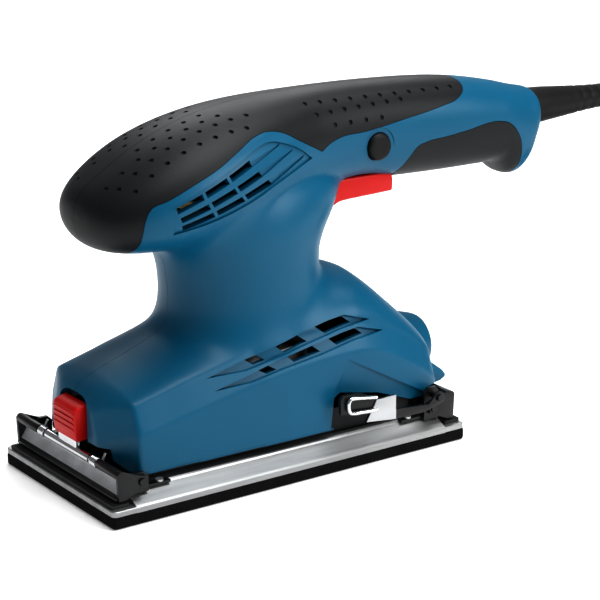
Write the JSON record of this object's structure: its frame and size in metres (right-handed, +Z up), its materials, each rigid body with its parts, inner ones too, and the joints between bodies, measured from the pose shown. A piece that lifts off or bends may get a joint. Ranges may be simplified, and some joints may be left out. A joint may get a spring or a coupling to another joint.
{
  "type": "orbital sander",
  "caption": "Corded hand-held orbital finishing sander: palm-and-handle housing over a rectangular sanding plate with lever paper clamps, coiled mains cord and plug.",
  "frame": {"origin": "centre of the foam pad's working face, under the motor axis", "axes": "+X towards the rear handle and the cord, -X towards the nose, +Z up along the motor shaft, -Y the left side"},
  "size_m": [0.4535, 0.1133, 0.1592],
  "materials": {
    "blue_plastic": "fine moulded texture, satin",
    "grip_rubber": "soft, matt",
    "black_plastic": "moulded, satin",
    "red_plastic": "moulded, half gloss",
    "cord_rubber": "smooth, matt",
    "cast_aluminium": "machined and brushed",
    "pad_foam": "fine-celled foam",
    "strip_rubber": "ribbed, matt",
    "zinc_steel": "zinc plated",
    "chromed_wire": "bright",
    "bearing_steel": "ground",
    "core_steel": "stacked laminations",
    "copper_wire": "enamelled copper",
    "brush_brass": "stamped",
    "carbon": "pressed carbon",
    "spring_steel": "drawn wire",
    "capacitor_film": "dipped",
    "lead_sheath": "extruded"
  },
  "bodies": {
    "housing": {"left_housing": "blue_plastic", "right_housing": "blue_plastic", "left_grip_skin": "grip_rubber", "right_grip_skin": "grip_rubber", "housing_screws": "zinc_steel", "dust_seal": "grip_rubber", "dust_duct": "blue_plastic", "dust_outlet": "blue_plastic", "plate_mounts": "grip_rubber", "motor_bearing_plate": "cast_aluminium", "stator_core": "core_steel", "field_coils": "copper_wire", "brush_holders": "brush_brass", "carbon_brushes": "carbon", "brush_springs": "spring_steel", "upper_bearing_outer_race": "bearing_steel", "lower_bearing_outer_race": "bearing_steel", "upper_bearing_cup": "grip_rubber", "switch_body": "black_plastic", "trigger_spring": "spring_steel", "lock_spring": "spring_steel", "capacitor": "capacitor_film", "switch_leads": "lead_sheath", "cord_clamp": "black_plastic", "clamp_screws": "zinc_steel", "cord_inner_end": "cord_rubber", "cord_boot": "grip_rubber", "cord_run": "cord_rubber", "cord_coil": "cord_rubber", "cord_tie": "black_plastic", "plug_body": "cord_rubber", "plug_pins": "chromed_wire"},
    "armature": {"motor_shaft": "bearing_steel", "armature_core": "core_steel", "armature_windings": "copper_wire", "commutator": "copper_wire", "cooling_fan": "black_plastic", "dust_fan": "black_plastic", "counterweight": "bearing_steel", "journal_circlip": "zinc_steel", "upper_bearing_inner_race": "bearing_steel", "lower_bearing_inner_race": "bearing_steel", "plate_bearing_inner_race": "bearing_steel", "bearing_balls": "bearing_steel"},
    "sole": {"sanding_plate": "cast_aluminium", "foam_pad": "pad_foam", "plate_bearing_outer_race": "bearing_steel", "bearing_retainer": "zinc_steel", "retainer_screws": "zinc_steel", "clamp_strips": "strip_rubber", "clamp_brackets": "zinc_steel", "bracket_rivets": "zinc_steel"},
    "trigger": {"trigger": "red_plastic"},
    "lock_button": {"lock_button": "black_plastic"},
    "front_clamp": {"front_clamp_bar": "zinc_steel"},
    "front_lever": {"front_lever_wire": "chromed_wire", "front_lever_grip": "red_plastic"},
    "rear_clamp": {"rear_clamp_bar": "zinc_steel"},
    "rear_lever": {"rear_lever_arm": "zinc_steel", "rear_lever_wire": "chromed_wire"}
  },
  "joints": [
    {"name": "armature_spin", "type": "hinge", "parent": "housing", "child": "armature", "pos_m": [0, 0, 0.07], "axis": [0, 0, 1], "continuous": true},
    {"name": "plate_orbit", "type": "hinge", "parent": "armature", "child": "sole", "pos_m": [0.0012, 0, 0.0185], "axis": [0, 0, 1], "continuous": true},
    {"name": "trigger_press", "type": "slide", "parent": "housing", "child": "trigger", "axis": [0, 0, 1], "range_m": [0, 0.005], "stiffness_N_per_m": 900, "springref_m": -0.004, "deforming": ["trigger_spring"]},
    {"name": "lock_press", "type": "slide", "parent": "housing", "child": "lock_button", "axis": [0, 1, 0], "range_m": [0, 0.003], "stiffness_N_per_m": 600, "springref_m": -0.002, "deforming": ["lock_spring"]},
    {"name": "front_lever_swing", "type": "hinge", "parent": "front_clamp", "child": "front_lever", "pos_m": [-0.085, 0, 0.0208], "axis": [0, -1, 0], "range_deg": [0, 70]},
    {"name": "front_clamp_lift", "type": "hinge", "parent": "sole", "child": "front_clamp", "pos_m": [-0.0755, 0, 0.0165], "axis": [0, 1, 0], "range_deg": [0, 12]},
    {"name": "rear_lever_swing", "type": "hinge", "parent": "sole", "child": "rear_lever", "pos_m": [0.076, -0.045, 0.0226], "axis": [0, 1, 0], "range_deg": [0, 50]},
    {"name": "rear_clamp_lift", "type": "hinge", "parent": "sole", "child": "rear_clamp", "pos_m": [0.0755, 0, 0.0165], "axis": [0, -1, 0], "range_deg": [0, 8]}
  ],
  "couplings": [
    {"joint": "plate_orbit", "follows": "armature_spin", "ratio": -1},
    {"joint": "front_clamp_lift", "follows": "front_lever_swing", "ratio": 0.17143},
    {"joint": "rear_clamp_lift", "follows": "rear_lever_swing", "ratio": 0.16}
  ]
}
